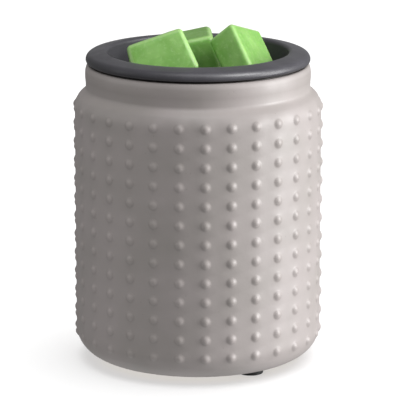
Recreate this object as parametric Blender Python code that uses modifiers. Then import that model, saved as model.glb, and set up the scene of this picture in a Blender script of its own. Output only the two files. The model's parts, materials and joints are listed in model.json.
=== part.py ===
"""Electric wax warmer: a stoneware jar with a heater in its mouth, a lift-out dish and wax melts.

The jar stands on the plane z = 0, its axis is Z, and its cord outlet faces +Y. The base cover and the
heater housing are clamped to the jar by one long tie rod. Lengths in this file are millimetres until
metres() turns them into Blender's metres.
"""

import math

import bmesh
import bpy
from mathutils import Matrix, Vector

# Driving dimensions
JAR_RADIUS = 53.0
NECK_RADIUS = 48.2
JAR_WALL = 4.6
RIM_TOP = 134.6
RIM_BOTTOM = 130.4
DISH_FLOOR = 116.4
DISH_MOUTH_RADIUS = 38.9
SILICONE = 2.0
FOOT_HEIGHT = 1.5
GAP = 0.3

# Jar
JAR_BOTTOM = FOOT_HEIGHT + GAP
LIP_TOP = 129.6
LIP_REBATE_FLOOR = 127.4
LIP_REBATE_RADIUS = 46.4
NECK_BASE = 121.6
SHOULDER_BASE = 112.6
BASE_CORNER_WIDTH = 13.0
BASE_CORNER_HEIGHT = 12.0
BASE_HOLE_RADIUS = 24.0
COVER_REBATE_RADIUS = 27.5
COVER_REBATE_TOP = 4.2
JAR_INNER_FLOOR = 6.8
OUTLET_Z = 22.0

# Heater stack, from the dish downwards
PLATE_TOP = DISH_FLOOR - SILICONE - GAP
PLATE_BOTTOM = PLATE_TOP - 3.0
PLATE_RADIUS = 41.2
MICA_THICKNESS = 0.6
MICA_RADIUS = 27.6
WIRE_RADIUS = 0.4
UPPER_MICA_TOP = PLATE_BOTTOM - GAP
ELEMENT_Z = UPPER_MICA_TOP - MICA_THICKNESS - GAP - WIRE_RADIUS
LOWER_MICA_TOP = ELEMENT_Z - WIRE_RADIUS - GAP
PRESSURE_TOP = LOWER_MICA_TOP - MICA_THICKNESS - GAP
PRESSURE_BOTTOM = PRESSURE_TOP - 1.2
PRESSURE_RADIUS = 33.5
LEDGE_TOP = PLATE_BOTTOM - GAP
LEDGE_BOTTOM = LEDGE_TOP - 2.0
HOUSING_RADIUS = 43.2
HOUSING_WALL = 1.6
HOUSING_BOTTOM = 93.8
HOUSING_FLOOR_TOP = 95.8
PAD_TOP = 100.1

# Fasteners and wiring
ROD_RADIUS = 2.0
BOSS_CIRCLE = 31.0
BOSS_ANGLES = (30.0, 150.0, 270.0)
PLATE_SCREW_CIRCLE = 38.7
PLATE_SCREW_ANGLES = (90.0, 210.0, 330.0)
FOOT_CIRCLE = 36.5
FOOT_RADIUS = 5.5
FOOT_ANGLES = (78.0, 198.0, 318.0)
ROD_CLEARANCE = 0.4
SCREW_HOLE_RADIUS = 1.3
LEAD_RADIUS = 0.9
LEAD_HOLE_RADIUS = 1.8
FUSE_Y = 14.0
CLIP_SCREW_Y = 20.0
FUSE_Z = PRESSURE_BOTTOM - GAP - 2.1
FUSE_RADIUS = 2.0
FUSE_HALF_LENGTH = 5.5
TAB_HALF_ANGLE = 10.0
ELEMENT_RADII = (24.0, 18.0, 12.0)
BLOCK_Y = (12.3, 17.3)
BLOCK_BORE_Z = 8.0
LIVE_RISER = (-17.0, 17.0)
NEUTRAL_RISER = (-17.0, 9.0)

# Wax melts: (side at the base, side at the top, height), centre, and turn about X, Y, Z in degrees
WAX_CORNER = 2.0
WAX_MELTS = {
    "wax_melt_left": ((28.6, 24.7, 18.9), (-13.84, -11.61, 132.95), (-13.7, -18.4, 14.2)),
    "wax_melt_rear": ((27.0, 24.0, 18.9), (-7.5, 18.15, 128.8), (1.1, -11.7, 12.3)),
    "wax_melt_right": ((25.2, 23.3, 14.0), (20.8, -4.46, 132.77), (-126.6, 15.9, 68.0)),
}

# Smoothness
BIG_STEPS = 48
MEDIUM_STEPS = 24
SMALL_STEPS = 12


def metres(value):
    """A length or a point in millimetres, in metres."""
    if isinstance(value, (int, float)):
        return value / 1000.0
    return tuple(v / 1000.0 for v in value)


def polar(radius, angle):
    """A point on a circle round the axis, its angle in degrees from +X."""
    turn = math.radians(angle)
    return radius * math.cos(turn), radius * math.sin(turn)


def arc(centre, width, height, start, end, steps):
    """Points along an elliptical arc of an outline, angles in degrees, both ends included."""
    points = []
    for step in range(steps + 1):
        turn = math.radians(start + (end - start) * step / steps)
        points.append((centre[0] + width * math.cos(turn), centre[1] + height * math.sin(turn)))
    return points


def bezier(start, handle_a, handle_b, end, steps):
    """Points along a cubic curve of an outline, both ends included."""
    points = []
    for step in range(steps + 1):
        t = step / steps
        weights = ((1 - t) ** 3, 3 * t * (1 - t) ** 2, 3 * t * t * (1 - t), t**3)
        corners = (start, handle_a, handle_b, end)
        points.append(tuple(sum(w * c[k] for w, c in zip(weights, corners)) for k in (0, 1)))
    return points


def smooth_route(points, steps):
    """A Catmull-Rom curve through a wire's route points."""
    padded = [points[0], *points, points[-1]]
    route = []
    for before, a, b, after in zip(padded, padded[1:], padded[2:], padded[3:]):
        p, q, r, s = (Vector(point) for point in (before, a, b, after))
        for step in range(steps):
            t = step / steps
            route.append(0.5 * (2 * q + (r - p) * t + (2 * p - 5 * q + 4 * r - s) * t * t
                                + (3 * q - p - 3 * r + s) * t**3))
    route.append(Vector(points[-1]))
    return route


def make_material(name, colour, roughness, metallic=0.0):
    """A Principled material."""
    material = bpy.data.materials.new(name)
    material.use_nodes = True
    shader = material.node_tree.nodes["Principled BSDF"]
    shader.inputs["Base Color"].default_value = (*colour, 1.0)
    shader.inputs["Roughness"].default_value = roughness
    shader.inputs["Metallic"].default_value = metallic
    return material


def add_object(name, data, material):
    """Link a sub-part to the model's collection and give it its material."""
    obj = bpy.data.objects.new(name, data)
    parts.objects.link(obj)
    data.materials.append(material)
    return obj


def shade(obj):
    """Smooth shading with crisp edges."""
    obj.data.shade_smooth()
    obj.data.set_sharp_from_angle(angle=math.radians(30))


def turned(name, outline, material, steps=BIG_STEPS, closed=True):
    """A turned solid: its outline at +X, running down the outer side, swept round Z."""
    mesh = bpy.data.meshes.new(name)
    corners = [(metres(x), 0.0, metres(z)) for x, z in outline]
    edges = [(i, i + 1) for i in range(len(corners) - 1)]
    if closed:
        edges.append((len(corners) - 1, 0))
    mesh.from_pydata(corners, edges, [])
    obj = add_object(name, mesh, material)
    screw = obj.modifiers.new("Turn", "SCREW")
    screw.steps = steps
    screw.render_steps = steps
    screw.use_merge_vertices = True
    screw.merge_threshold = 0.00001
    screw.use_smooth_shade = True
    return obj


def ring(name, outer, inner, bottom, top, material, steps=BIG_STEPS):
    """A flat ring or a washer."""
    outline = ((outer, top), (outer, bottom), (inner, bottom), (inner, top))
    return turned(name, outline, material, steps)


def cylinder_mesh(name, pins, steps=SMALL_STEPS):
    """One mesh of upright cylinders, each given as (x, y, radius, bottom, top)."""
    mesh = bpy.data.meshes.new(name)
    shape = bmesh.new()
    for x, y, radius, bottom, top in pins:
        place = Matrix.Translation(metres((x, y, (bottom + top) / 2)))
        bmesh.ops.create_cone(shape, cap_ends=True, segments=steps, radius1=metres(radius),
                              radius2=metres(radius), depth=metres(top - bottom), matrix=place)
    shape.to_mesh(mesh)
    shape.free()
    return mesh


def disc(name, radius, bottom, top, material, steps=BIG_STEPS):
    """A plain round plate on the axis."""
    obj = add_object(name, cylinder_mesh(name, [(0, 0, radius, bottom, top)], steps), material)
    shade(obj)
    return obj


def box_mesh(name, low, high):
    """A box from its lowest to its highest corner."""
    mesh = bpy.data.meshes.new(name)
    shape = bmesh.new()
    size = [b - a for a, b in zip(low, high)]
    middle = [(a + b) / 2 for a, b in zip(low, high)]
    place = Matrix.Translation(metres(middle)) @ Matrix.Diagonal((*metres(size), 1.0))
    bmesh.ops.create_cube(shape, size=1.0, matrix=place)
    shape.to_mesh(mesh)
    shape.free()
    return mesh


def box(name, low, high, material):
    """A plain box as a sub-part."""
    return add_object(name, box_mesh(name, low, high), material)


def combine(obj, mesh, operation, rotation=None):
    """Cut a tool's shape out of a sub-part, or join it on."""
    tool = bpy.data.objects.new(f"{obj.name}_tool_{len(obj.modifiers)}", mesh)
    tools.objects.link(tool)
    tool.hide_render = True
    tool.display_type = "WIRE"
    if rotation:
        tool.matrix_world = rotation
    boolean = obj.modifiers.new(operation.title(), "BOOLEAN")
    boolean.operation = operation
    boolean.solver = "EXACT"
    boolean.object = tool


def soften(obj, width, segments=1):
    """Round the edges of a sub-part."""
    bevel = obj.modifiers.new("Round", "BEVEL")
    bevel.width = metres(width)
    bevel.segments = segments
    bevel.limit_method = "ANGLE"


def wire(name, points, radius, material):
    """A round wire along a route."""
    curve = bpy.data.curves.new(name, "CURVE")
    curve.dimensions = "3D"
    spline = curve.splines.new("POLY")
    spline.points.add(len(points) - 1)
    for place, point in zip(spline.points, points):
        place.co = (*metres(point), 1.0)
    curve.bevel_depth = metres(radius)
    curve.bevel_resolution = 2
    curve.use_fill_caps = True
    return add_object(name, curve, material)


def screw_pin(name, x, y, head, shank, material):
    """A pan-head screw; head and shank are each (radius, bottom, top)."""
    if head[1] > shank[1]:
        outline = [(0.0, head[2]), (head[0], head[2]), (head[0], head[1]), (shank[0], head[1]),
                   (shank[0], shank[1]), (0.0, shank[1])]
    else:
        outline = [(0.0, shank[2]), (shank[0], shank[2]), (shank[0], head[2]), (head[0], head[2]),
                   (head[0], head[1]), (0.0, head[1])]
    obj = turned(name, outline, material, SMALL_STEPS, closed=False)
    obj.location = metres((x, y, 0.0))
    return obj


def make_jar():
    """The glazed stoneware jar, open at its mouth, with a hole in its base and one for the cord."""
    inner = JAR_RADIUS - JAR_WALL
    corner = (JAR_RADIUS - BASE_CORNER_WIDTH, JAR_BOTTOM + BASE_CORNER_HEIGHT)
    mouth = NECK_RADIUS - JAR_WALL
    inner_corner = 8.0
    lip_edge = 0.6
    outline = [(LIP_REBATE_RADIUS, LIP_TOP), (NECK_RADIUS - lip_edge, LIP_TOP),
               (NECK_RADIUS, LIP_TOP - lip_edge)]
    outline += [(NECK_RADIUS + 0.1, 126.0)]
    outline += bezier((NECK_RADIUS, NECK_BASE), (NECK_RADIUS, 119.4), (JAR_RADIUS, 118.0),
                      (JAR_RADIUS, SHOULDER_BASE), 6)
    outline += arc(corner, BASE_CORNER_WIDTH, BASE_CORNER_HEIGHT, 0, -90, 5)
    outline += [(COVER_REBATE_RADIUS, JAR_BOTTOM), (COVER_REBATE_RADIUS, COVER_REBATE_TOP)]
    outline += [(BASE_HOLE_RADIUS, COVER_REBATE_TOP), (BASE_HOLE_RADIUS, JAR_INNER_FLOOR)]
    outline += arc((inner - inner_corner, JAR_INNER_FLOOR + inner_corner), inner_corner, inner_corner,
                   -90, 0, 3)
    outline += bezier((inner, 110.0), (inner, 116.0), (mouth, 116.0), (mouth, 121.0), 3)
    outline += [(mouth, LIP_REBATE_FLOOR), (LIP_REBATE_RADIUS, LIP_REBATE_FLOOR)]
    jar = turned("ceramic_body", outline, glaze)
    turn_back = Matrix.Rotation(math.radians(-90), 4, "X")
    facing_back = Matrix.Translation(metres((0, 0, OUTLET_Z))) @ turn_back
    outlet = [(0, 0, 5.2, inner - 6.0, JAR_RADIUS + 2.0)]
    combine(jar, cylinder_mesh("cord_hole", outlet, MEDIUM_STEPS), "DIFFERENCE", facing_back)
    counterbore = [(0, 0, 7.4, JAR_RADIUS - 1.8, JAR_RADIUS + 4.0)]
    combine(jar, cylinder_mesh("cord_counterbore", counterbore, MEDIUM_STEPS), "DIFFERENCE", facing_back)


def make_grommet():
    """The flanged bush that lines the cord hole; its flanges lie inside and outside the wall."""
    outline = ((7.0, 52.4), (7.0, 51.5), (4.9, 51.5), (4.9, 47.5), (7.0, 47.5), (7.0, 46.0),
               (3.3, 46.0), (3.3, 52.4))
    grommet = turned("cord_grommet", outline, black_rubber, MEDIUM_STEPS)
    grommet.rotation_euler = (math.radians(-90), 0, 0)
    grommet.location = metres((0, 0, OUTLET_Z))


def make_feet():
    """Three stick-on rubber feet."""
    for number, angle in enumerate(FOOT_ANGLES, start=1):
        x, y = polar(FOOT_CIRCLE, angle)
        name = f"foot_{number}"
        mesh = cylinder_mesh(name, [(0, 0, FOOT_RADIUS, 0, FOOT_HEIGHT)], MEDIUM_STEPS)
        foot = add_object(name, mesh, black_rubber)
        foot.location = metres((x, y, 0))
        shade(foot)


def make_base_cover():
    """The moulded cover in the base, with a spigot, and a boss that the tie rod clamps."""
    flange, spigot, spigot_wall, boss, recess = 27.1, 23.6, 1.8, 9.0, 7.0
    low, floor_top, spigot_top, boss_top, recess_top = 1.9, 3.9, 8.0, 9.0, 7.0
    hole = ROD_RADIUS + ROD_CLEARANCE
    outline = ((flange, floor_top), (flange, low), (recess, low), (recess, recess_top),
               (hole, recess_top), (hole, boss_top), (boss, boss_top), (boss, floor_top),
               (spigot - spigot_wall, floor_top), (spigot - spigot_wall, spigot_top),
               (spigot, spigot_top), (spigot, floor_top))
    cover = turned("base_cover", outline, black_plastic)
    screw_hole = (0, sum(BLOCK_Y) / 2, SCREW_HOLE_RADIUS, low - 1, floor_top + 1)
    combine(cover, cylinder_mesh("block_screw_hole", [screw_hole]), "DIFFERENCE")


def make_tie_rod():
    """The threaded rod that clamps cover, jar and housing together, with its nuts and washers."""
    disc("tie_rod", ROD_RADIUS, 2.3, 101.6, steel, SMALL_STEPS)
    clearance = ROD_RADIUS + GAP
    washer_radius, nut_corner_radius, nut_sides = 6.0, 4.04, 6
    heights = (("lower", (6.0, 6.7), (2.7, 5.7)), ("upper", (96.1, 96.9), (97.2, 100.2)))
    for end, washer, nut in heights:
        ring(f"{end}_washer", washer_radius, clearance, *washer, steel, MEDIUM_STEPS)
        ring(f"{end}_nut", nut_corner_radius, clearance, *nut, steel, nut_sides)


def make_housing():
    """The moulded cup in the jar's mouth that holds the heater, and the seal under its flange."""
    flange, ledge, seal_inner = 46.1, 36.5, 43.9
    inner = HOUSING_RADIUS - HOUSING_WALL
    flange_bottom, flange_top = 128.8, 130.0
    hole = ROD_RADIUS + ROD_CLEARANCE
    outline = ((flange, flange_top), (flange, flange_bottom), (HOUSING_RADIUS, flange_bottom),
               (HOUSING_RADIUS, HOUSING_BOTTOM), (hole, HOUSING_BOTTOM), (hole, HOUSING_FLOOR_TOP),
               (inner, HOUSING_FLOOR_TOP), (inner, LEDGE_BOTTOM), (ledge, LEDGE_BOTTOM),
               (ledge, LEDGE_TOP), (inner, LEDGE_TOP), (inner, flange_top))
    housing = turned("heater_housing", outline, dark_plastic)
    holes = [(*riser, LEAD_HOLE_RADIUS, HOUSING_BOTTOM - 1, HOUSING_FLOOR_TOP + 1)
             for riser in (LIVE_RISER, NEUTRAL_RISER)]
    holes += [(*polar(PLATE_SCREW_CIRCLE, angle), SCREW_HOLE_RADIUS, LEDGE_BOTTOM - 1, LEDGE_TOP + 1)
              for angle in PLATE_SCREW_ANGLES]
    combine(housing, cylinder_mesh("housing_holes", holes), "DIFFERENCE")
    seal_bottom, seal_top = LIP_REBATE_FLOOR + GAP, flange_bottom - GAP
    ring("mouth_gasket", flange, seal_inner, seal_bottom, seal_top, black_rubber)


def make_heater():
    """The heater: a cast plate with the element pressed to its underside between two mica discs."""
    plate = disc("heater_plate", PLATE_RADIUS, PLATE_BOTTOM, PLATE_TOP, aluminium)
    bosses = [polar(BOSS_CIRCLE, angle) for angle in BOSS_ANGLES]
    plate_screws = [polar(PLATE_SCREW_CIRCLE, angle) for angle in PLATE_SCREW_ANGLES]
    boss_bottom = PRESSURE_TOP + GAP
    boss_radius, boss_hole, tab_hole = 3.0, 1.5, 1.4
    solid = [(*place, boss_radius, boss_bottom, PLATE_BOTTOM + 1) for place in bosses]
    combine(plate, cylinder_mesh("plate_bosses", solid), "UNION")
    drilled = [(*place, boss_hole, boss_bottom - 1, PLATE_TOP - 1.5) for place in bosses]
    drilled += [(*place, SCREW_HOLE_RADIUS, PLATE_BOTTOM - 1, PLATE_TOP - 1) for place in plate_screws]
    combine(plate, cylinder_mesh("plate_holes", drilled), "DIFFERENCE")

    ends = [polar(ELEMENT_RADII[0], TAB_HALF_ANGLE), polar(ELEMENT_RADII[-1], -TAB_HALF_ANGLE)]
    disc("mica_upper", MICA_RADIUS, UPPER_MICA_TOP - MICA_THICKNESS, UPPER_MICA_TOP, mica)
    lower = disc("mica_lower", MICA_RADIUS, LOWER_MICA_TOP - MICA_THICKNESS, LOWER_MICA_TOP, mica)
    tab_holes = [(*place, tab_hole, PRESSURE_BOTTOM - 1, LOWER_MICA_TOP + 0.2) for place in ends]
    combine(lower, cylinder_mesh("mica_holes", tab_holes), "DIFFERENCE")
    pressure = disc("pressure_plate", PRESSURE_RADIUS, PRESSURE_BOTTOM, PRESSURE_TOP, steel)
    plate_holes = [(*place, boss_hole, PRESSURE_BOTTOM - 1, PRESSURE_TOP + 1) for place in bosses]
    plate_holes += [(0, CLIP_SCREW_Y, SCREW_HOLE_RADIUS, PRESSURE_BOTTOM - 1, PRESSURE_TOP + 1)]
    combine(pressure, cylinder_mesh("pressure_holes", tab_holes + plate_holes), "DIFFERENCE")

    wire("heating_element", element_route(), WIRE_RADIUS, nichrome)
    thin, wide = 0.3, 0.8
    for number, (x, y) in enumerate(ends, start=1):
        low = (x - thin, y - wide, FUSE_Z - 1)
        high = (x + thin, y + wide, LOWER_MICA_TOP)
        box(f"element_tab_{number}", low, high, steel)
    for number, (x, y) in enumerate(bosses, start=1):
        head = (2.4, PRESSURE_BOTTOM - GAP - 1.5, PRESSURE_BOTTOM - GAP)
        shank = (1.2, head[1], PLATE_TOP - 2.0)
        screw_pin(f"pressure_screw_{number}", x, y, head, shank, steel)
    for number, (x, y) in enumerate(plate_screws, start=1):
        head = (1.9, LEDGE_BOTTOM - GAP - 1.2, LEDGE_BOTTOM - GAP)
        shank = (1.0, head[1], PLATE_TOP - 1.5)
        screw_pin(f"plate_screw_{number}", x, y, head, shank, steel)


def element_route():
    """The resistance wire: three arcs, each turning back inside the last, with both ends at the gap."""
    points = []
    steps = 15
    for turn, radius in enumerate(ELEMENT_RADII):
        sweep = 360.0 - 2 * TAB_HALF_ANGLE
        angles = [TAB_HALF_ANGLE + sweep * step / steps for step in range(steps + 1)]
        if turn % 2:
            angles.reverse()
        points += [(*polar(radius, angle), ELEMENT_Z) for angle in angles]
    return points


def make_insulation():
    """The fibre pad under the heater, with a hole for the nut and one for each lead."""
    nut_hole = 7.0
    pad = ring("insulation_pad", PLATE_RADIUS, nut_hole, HOUSING_FLOOR_TOP + GAP, PAD_TOP, fibre)
    holes = [(*riser, LEAD_HOLE_RADIUS, HOUSING_FLOOR_TOP - 1, PAD_TOP + 1)
             for riser in (LIVE_RISER, NEUTRAL_RISER)]
    combine(pad, cylinder_mesh("pad_holes", holes), "DIFFERENCE")


def make_fuse():
    """The thermal fuse, held up to the pressure plate by a saddle clip and one screw."""
    along_x = Matrix.Translation(metres((0, FUSE_Y, FUSE_Z))) @ Matrix.Rotation(math.radians(90), 4, "Y")
    mesh = cylinder_mesh("thermal_fuse", [(0, 0, FUSE_RADIUS, -FUSE_HALF_LENGTH, FUSE_HALF_LENGTH)])
    fuse = add_object("thermal_fuse", mesh, steel)
    fuse.matrix_world = along_x
    shade(fuse)
    top = PRESSURE_BOTTOM - GAP
    side, half, ear_thickness = 3.1, 2.5, 1.2
    clip = box("fuse_clip", (-half, FUSE_Y - side, FUSE_Z - side), (half, FUSE_Y + side, top), steel)
    ear_low = (-half, FUSE_Y + side - 0.5, top - ear_thickness)
    combine(clip, box_mesh("clip_ear", ear_low, (half, CLIP_SCREW_Y + half, top)), "UNION")
    clearance = [(0, 0, FUSE_RADIUS + GAP, -2 * half, 2 * half)]
    combine(clip, cylinder_mesh("clip_saddle", clearance), "DIFFERENCE", along_x)
    screw_hole = (0, CLIP_SCREW_Y, SCREW_HOLE_RADIUS, top - 3, top + 1)
    combine(clip, cylinder_mesh("clip_hole", [screw_hole]), "DIFFERENCE")
    head_top = top - ear_thickness - GAP
    head = (1.9, head_top - 1.2, head_top)
    shank = (1.0, head[1], PRESSURE_TOP - 0.1)
    screw_pin("fuse_clip_screw", 0, CLIP_SCREW_Y, head, shank, steel)


def make_terminals():
    """The terminal block on the base cover, with four clamp screws and the screw that holds it."""
    low, high = (-7.5, 10.3, 4.2), (7.5, 19.3, 13.0)
    clamp_x, clamp_radius, pocket_radius, head_radius = 4.6, 1.3, 1.6, 2.0
    middle = sum(BLOCK_Y) / 2
    block = box("terminal_block", low, high, white_plastic)
    turn_to_x = Matrix.Rotation(math.radians(90), 4, "Y")
    bore = (0, 0, SCREW_HOLE_RADIUS, low[0] - 1, high[0] + 1)
    for y in BLOCK_Y:
        along_x = Matrix.Translation(metres((0, y, BLOCK_BORE_Z))) @ turn_to_x
        combine(block, cylinder_mesh("wire_bore", [bore]), "DIFFERENCE", along_x)
    places = [(x, y) for x in (-clamp_x, clamp_x) for y in BLOCK_Y]
    pockets = [(*place, pocket_radius, BLOCK_BORE_Z + 1, high[2] + 1) for place in places]
    pockets += [(0, middle, SCREW_HOLE_RADIUS, low[2] - 1, high[2] + 1),
                (0, middle, head_radius + GAP, high[2] - 2, high[2] + 1.5)]
    for pocket in pockets:
        combine(block, cylinder_mesh("pocket", [pocket]), "DIFFERENCE")
    for number, (x, y) in enumerate(places, start=1):
        thread = (0, 0, clamp_radius, BLOCK_BORE_Z + 1.7, high[2] - GAP)
        pin = cylinder_mesh(f"terminal_screw_{number}", [thread])
        clamp = add_object(f"terminal_screw_{number}", pin, steel)
        clamp.location = metres((x, y, 0))
        shade(clamp)
    head = (head_radius, high[2] - 1.7, high[2] - GAP)
    screw_pin("block_screw", 0, middle, head, (1.0, 2.3, head[1]), steel)


def make_leads():
    """The three heatproof leads, from terminal to fuse, fuse to element and element to terminal."""
    entry = -6.6
    top = FUSE_Z
    tab_1 = polar(ELEMENT_RADII[0], TAB_HALF_ANGLE)
    tab_2 = polar(ELEMENT_RADII[-1], -TAB_HALF_ANGLE)
    clear = 0.6
    x, y = LIVE_RISER
    live = [(entry, BLOCK_Y[1], BLOCK_BORE_Z), (-10.0, BLOCK_Y[1], BLOCK_BORE_Z),
            (-14.6, y, 11.0), (x, y, 19.0), (x, y, 40.0), (x, y, 70.0), (x, y, 98.5),
            (x + 1.2, y - 0.4, 101.6), (-12.0, 15.0, top - 0.3), (-8.5, FUSE_Y, top),
            (-FUSE_HALF_LENGTH - GAP, FUSE_Y, top)]
    wire("live_lead", smooth_route(live, 3), LEAD_RADIUS, red_sleeve)
    x, y = NEUTRAL_RISER
    neutral = [(entry, BLOCK_Y[0], BLOCK_BORE_Z), (-10.0, BLOCK_Y[0], BLOCK_BORE_Z),
               (-14.6, y + 1.0, 11.0), (x, y, 19.0), (x, y, 40.0), (x, y, 70.0), (x, y, 98.5),
               (x + 1.4, y - 1.0, 101.8), (-10.0, 2.0, top - 0.2), (-1.0, -2.2, top),
               (6.0, tab_2[1], top), (tab_2[0] - clear, tab_2[1], top)]
    wire("neutral_lead", smooth_route(neutral, 3), LEAD_RADIUS, white_sleeve)
    linking = [(FUSE_HALF_LENGTH + GAP, FUSE_Y, top), (9.0, FUSE_Y, top), (15.0, 11.5, top - 0.3),
               (19.5, 5.5, top), (tab_1[0] - clear, tab_1[1], top)]
    wire("fuse_lead", smooth_route(linking, 4), LEAD_RADIUS, red_sleeve)


def make_dish():
    """The flexible dish that holds the wax; its thick rim rests over the jar's lip."""
    floor_radius, rim_width, inner_round, outer_round = 34.4, 48.2, 1.4, 2.6
    wall_base = DISH_FLOOR + 2.4
    inner_top = RIM_TOP - inner_round
    skin = DISH_MOUTH_RADIUS + SILICONE
    outer_base = floor_radius + 2.4 + SILICONE
    outline = [(0.0, DISH_FLOOR)]
    outline += arc((floor_radius, wall_base), 2.4, 2.4, -90, 0, 3)
    outline += arc((DISH_MOUTH_RADIUS + inner_round, inner_top), inner_round, inner_round, 180, 90, 3)
    outline += arc((rim_width - outer_round, RIM_TOP - outer_round), outer_round, outer_round, 90, 0, 4)
    outline += arc((rim_width - 1.2, RIM_BOTTOM + 1.2), 1.2, 1.2, 0, -90, 2)
    outline += [(skin + 0.2, RIM_BOTTOM), (skin, RIM_BOTTOM - 1.0), (outer_base, wall_base)]
    outline += arc((floor_radius, wall_base), 2.4 + SILICONE, 2.4 + SILICONE, -30, -90, 2)
    outline += [(0.0, DISH_FLOOR - SILICONE)]
    return turned("silicone_dish", outline, silicone, closed=False)


def make_wax(dish):
    """Three wax melts, square blocks with sloping sides, tipped together in the dish."""
    for name, (sides, place, tilt) in WAX_MELTS.items():
        base, top, height = sides
        mesh = bpy.data.meshes.new(name)
        shape = bmesh.new()
        corner = math.sqrt(0.5)
        bmesh.ops.create_cone(shape, cap_ends=True, segments=4, radius1=metres(base * corner),
                              radius2=metres(top * corner), depth=metres(height),
                              matrix=Matrix.Rotation(math.radians(45), 4, "Z"))
        shape.to_mesh(mesh)
        shape.free()
        block = add_object(name, mesh, wax)
        block.parent = dish
        block.location = metres(place)
        block.rotation_euler = [math.radians(angle) for angle in tilt]
        soften(block, WAX_CORNER, 2)
        shade(block)


for old in list(bpy.data.objects):
    bpy.data.objects.remove(old, do_unlink=True)

parts = bpy.data.collections.new("wax_warmer")
tools = bpy.data.collections.new("cutting_tools")
bpy.context.scene.collection.children.link(parts)
bpy.context.scene.collection.children.link(tools)

glaze = make_material("warm_grey_glaze", (0.42, 0.38, 0.36), 0.55)
silicone = make_material("dark_grey_silicone", (0.06, 0.06, 0.065), 0.6)
wax = make_material("green_wax", (0.28, 0.55, 0.12), 0.45)
black_rubber = make_material("black_rubber", (0.02, 0.02, 0.02), 0.8)
black_plastic = make_material("black_plastic", (0.03, 0.03, 0.03), 0.5)
dark_plastic = make_material("heatproof_plastic", (0.05, 0.05, 0.05), 0.6)
white_plastic = make_material("white_plastic", (0.8, 0.8, 0.78), 0.4)
aluminium = make_material("cast_aluminium", (0.7, 0.7, 0.71), 0.35, 1.0)
steel = make_material("zinc_steel", (0.6, 0.6, 0.6), 0.3, 1.0)
nichrome = make_material("resistance_wire", (0.35, 0.33, 0.32), 0.4, 1.0)
mica = make_material("mica", (0.55, 0.5, 0.4), 0.4)
fibre = make_material("ceramic_fibre", (0.85, 0.83, 0.78), 0.95)
red_sleeve = make_material("red_silicone_sleeve", (0.5, 0.04, 0.03), 0.5)
white_sleeve = make_material("white_silicone_sleeve", (0.75, 0.75, 0.73), 0.5)

make_jar()
make_grommet()
make_feet()
make_base_cover()
make_tie_rod()
make_housing()
make_heater()
make_insulation()
make_fuse()
make_terminals()
make_leads()
make_wax(make_dish())
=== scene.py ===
# %% [markdown]
# An electric wax warmer, modelled around its engineering model
#
# The warmer is a stoneware jar covered in hobnails. A heater hangs in the jar's mouth, a soft silicone
# dish sits over the heater, and wax melts lie in the dish. The engineering model already holds every
# solid in its right place. This lesson loads it as a fixed frame and then makes the surfaces that people
# see and touch: thrown clay, moulded silicone, poured wax, rubber and metal.

# %% Load the engineering model
import json
import math
import random

import bpy
import numpy as np
from mathutils import Matrix, Vector

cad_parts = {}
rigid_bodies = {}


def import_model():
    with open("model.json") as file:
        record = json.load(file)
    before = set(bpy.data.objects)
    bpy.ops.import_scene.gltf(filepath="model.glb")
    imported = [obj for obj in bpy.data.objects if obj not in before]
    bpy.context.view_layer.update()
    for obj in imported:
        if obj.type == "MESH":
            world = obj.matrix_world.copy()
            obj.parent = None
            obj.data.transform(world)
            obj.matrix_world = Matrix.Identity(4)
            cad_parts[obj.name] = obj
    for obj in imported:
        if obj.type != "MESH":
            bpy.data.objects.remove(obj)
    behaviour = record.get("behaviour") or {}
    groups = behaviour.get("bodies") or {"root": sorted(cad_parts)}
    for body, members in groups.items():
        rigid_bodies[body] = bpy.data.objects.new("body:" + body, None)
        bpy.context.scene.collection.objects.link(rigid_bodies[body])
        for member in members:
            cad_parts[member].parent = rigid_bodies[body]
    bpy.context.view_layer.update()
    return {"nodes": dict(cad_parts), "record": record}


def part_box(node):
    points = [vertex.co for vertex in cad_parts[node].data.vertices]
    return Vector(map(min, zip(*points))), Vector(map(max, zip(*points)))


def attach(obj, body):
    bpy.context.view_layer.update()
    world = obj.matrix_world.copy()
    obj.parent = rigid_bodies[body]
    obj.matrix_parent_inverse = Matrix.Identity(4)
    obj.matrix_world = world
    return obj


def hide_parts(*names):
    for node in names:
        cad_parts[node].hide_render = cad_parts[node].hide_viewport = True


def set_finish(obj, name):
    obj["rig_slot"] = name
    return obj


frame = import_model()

print("nodes in the frame:", len(frame["nodes"]))

# %% [markdown]
# ## Sizes come from the frame
#
# A potter or a mould maker works to a drawing. Here the drawing is the engineering model, so every size
# is read from its solids, and only small things that it leaves out, such as the hobnails and the fillets,
# get a number of their own. One millimetre is a thousandth of a Blender unit.

# %% Measure the jar and the dish
MM = 0.001


def spread(node):
    """A round node's radius, lowest height and highest height."""
    low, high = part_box(node)
    return (high[0] - low[0]) / 2, low[2], high[2]


jar_radius, jar_bottom, jar_top = spread("ceramic_body")
rim_radius, dish_bottom, rim_top = spread("silicone_dish")
neck_radius = rim_radius
jar_wall = 4.6 * MM
print(f"jar {2 * jar_radius / MM:.1f} mm across, lip at {jar_top / MM:.1f} mm, rim at {rim_top / MM:.1f} mm")

# %% [markdown]
# ## Helpers for work in edit mode
#
# Every operator works on what is selected, so each piece starts from a clean selection. Turned pieces are
# made as on a lathe: one vertex is drawn along the outline with extrude, and the outline is spun round the
# axis. The alternative is a Screw modifier, but with a spin the mesh is there at once to be worked further.

# %% Lathe helpers


def deselect():
    """Leave edit mode and select nothing."""
    if bpy.context.object and bpy.context.object.mode != "OBJECT":
        bpy.ops.object.mode_set(mode="OBJECT")
    bpy.ops.object.select_all(action="DESELECT")


def activate(obj):
    """Select one object and make it the active one."""
    deselect()
    obj.select_set(True)
    bpy.context.view_layer.objects.active = obj


def added(name):
    """Name the primitive that was just added and return it."""
    obj = bpy.context.object
    obj.name = name
    obj.data.name = name
    return obj


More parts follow.
